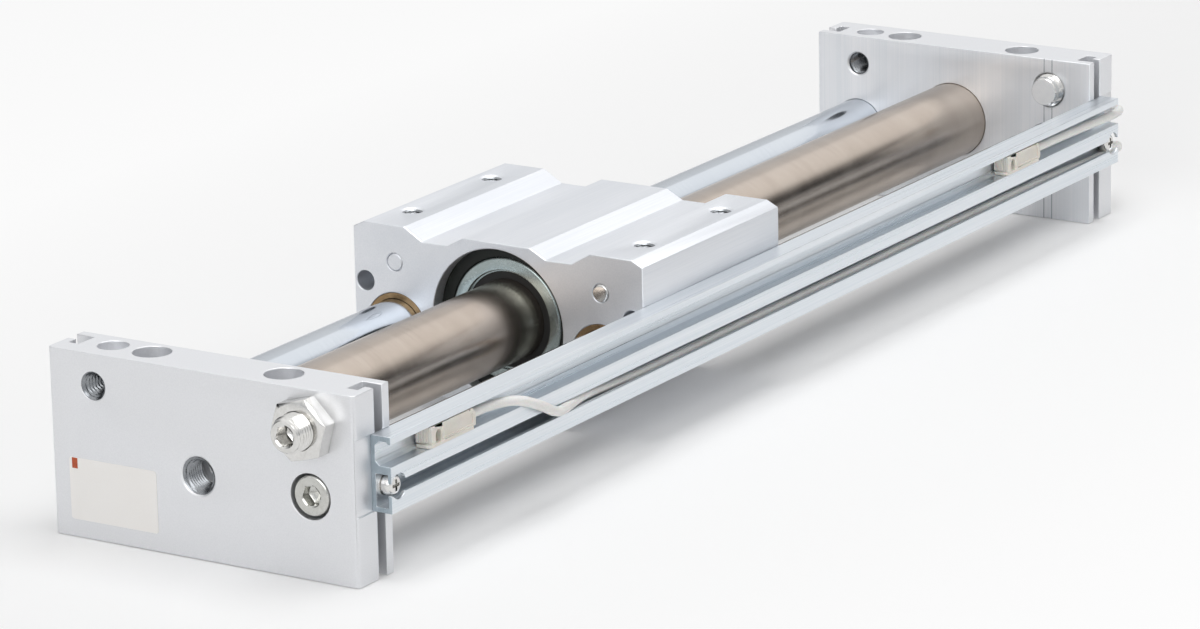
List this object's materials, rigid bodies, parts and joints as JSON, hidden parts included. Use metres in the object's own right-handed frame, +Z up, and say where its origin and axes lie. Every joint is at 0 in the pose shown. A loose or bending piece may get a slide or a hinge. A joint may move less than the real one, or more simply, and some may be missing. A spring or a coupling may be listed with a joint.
{
  "type": "rodless pneumatic cylinder",
  "caption": "Rodless pneumatic cylinder: slide block on guide rods between end plates, carried along by an internal piston through ring magnets, with position sensors on a side rail.",
  "frame": {"origin": "centre of the four base fixing holes, on the base plane, below the tube's axis and midway between the end plates", "axes": "+X along the stroke away from the end plate with the sticker, +Z up out of the slide table, the sensor rail on the -Y side"},
  "size_m": [0.47, 0.1163, 0.0508],
  "materials": {
    "plate_aluminium": "clear anodised",
    "block_aluminium": "satin anodised",
    "rail_aluminium": "pale anodised extrusion",
    "tube_steel": "champagne brown stainless tube",
    "chrome": "hard chrome",
    "nickel_steel": "nickel plated",
    "black_steel": "black phosphate",
    "zinc_steel": "zinc plated",
    "yoke_steel": "bare steel",
    "magnet": "sintered magnet",
    "bronze": "sintered bronze",
    "inner_aluminium": "turned",
    "black_rubber": "nitrile rubber",
    "bearing_resin": "bearing resin",
    "ivory_plastic": "ivory moulded plastic",
    "lead_vinyl": "light grey vinyl",
    "copper": "bare copper",
    "label_film": "off-white film"
  },
  "bodies": {
    "frame": {"end_plate_left": "plate_aluminium", "end_plate_right": "plate_aluminium", "cylinder_tube": "tube_steel", "guide_rod_front": "chrome", "guide_rod_rear": "chrome", "rod_cap_screws": "nickel_steel", "rod_grub_screws": "black_steel", "tube_seals": "black_rubber", "sensor_rail": "rail_aluminium", "rail_screws": "nickel_steel", "rail_nuts": "nickel_steel", "position_sensor_left": "ivory_plastic", "position_sensor_right": "ivory_plastic", "sensor_screws": "nickel_steel", "blank_label": "label_film", "lead_left": "lead_vinyl", "lead_left_cores": "copper", "lead_right": "lead_vinyl", "lead_right_coil": "lead_vinyl", "lead_right_tail": "lead_vinyl", "lead_right_cores": "copper"},
    "carriage": {"slide_block": "block_aluminium", "guide_bush_front_left": "bronze", "guide_bush_front_right": "bronze", "guide_bush_rear_left": "bronze", "guide_bush_rear_right": "bronze", "magnet_sleeve": "inner_aluminium", "end_ring_left": "zinc_steel", "end_ring_right": "zinc_steel", "snap_rings": "black_steel", "scrapers": "black_rubber", "wear_rings": "bearing_resin", "stop_pins": "nickel_steel", "block_plugs": "block_aluminium", "target_magnets": "magnet", "outer_yoke_1": "yoke_steel", "outer_yoke_2": "yoke_steel", "outer_yoke_3": "yoke_steel", "outer_yoke_4": "yoke_steel", "outer_magnet_1": "magnet", "outer_magnet_2": "magnet", "outer_magnet_3": "magnet"},
    "piston": {"piston_shaft": "nickel_steel", "piston_left": "inner_aluminium", "piston_right": "inner_aluminium", "piston_wear_rings": "bearing_resin", "piston_seals": "black_rubber", "bumpers": "black_rubber", "inner_yoke_1": "yoke_steel", "inner_yoke_2": "yoke_steel", "inner_yoke_3": "yoke_steel", "inner_yoke_4": "yoke_steel", "inner_magnet_1": "magnet", "inner_magnet_2": "magnet", "inner_magnet_3": "magnet"},
    "adjuster_left": {"adjusting_bolt_left": "nickel_steel"},
    "adjuster_right": {"adjusting_bolt_right": "nickel_steel"},
    "nut_left": {"lock_nut_left": "nickel_steel"},
    "nut_right": {"lock_nut_right": "nickel_steel"}
  },
  "joints": [
    {"name": "table_slide", "type": "slide", "parent": "frame", "child": "carriage", "axis": [1, 0, 0], "range_m": [-0.1181, 0.1819]},
    {"name": "piston_slide", "type": "slide", "parent": "frame", "child": "piston", "axis": [1, 0, 0], "range_m": [-0.1181, 0.1819]},
    {"name": "adjust_left", "type": "slide", "parent": "frame", "child": "adjuster_left", "axis": [-1, 0, 0], "range_m": [0, 0.0032]},
    {"name": "adjust_right", "type": "slide", "parent": "frame", "child": "adjuster_right", "axis": [1, 0, 0], "range_m": [0, 0.0032]},
    {"name": "nut_left_turn", "type": "hinge", "parent": "frame", "child": "nut_left", "pos_m": [-0.20465, -0.0332, 0.0404], "axis": [-1, 0, 0], "continuous": true},
    {"name": "nut_right_turn", "type": "hinge", "parent": "frame", "child": "nut_right", "pos_m": [0.20465, -0.0332, 0.0404], "axis": [1, 0, 0], "continuous": true}
  ],
  "couplings": [
    {"joint": "piston_slide", "follows": "table_slide", "ratio": 1}
  ]
}
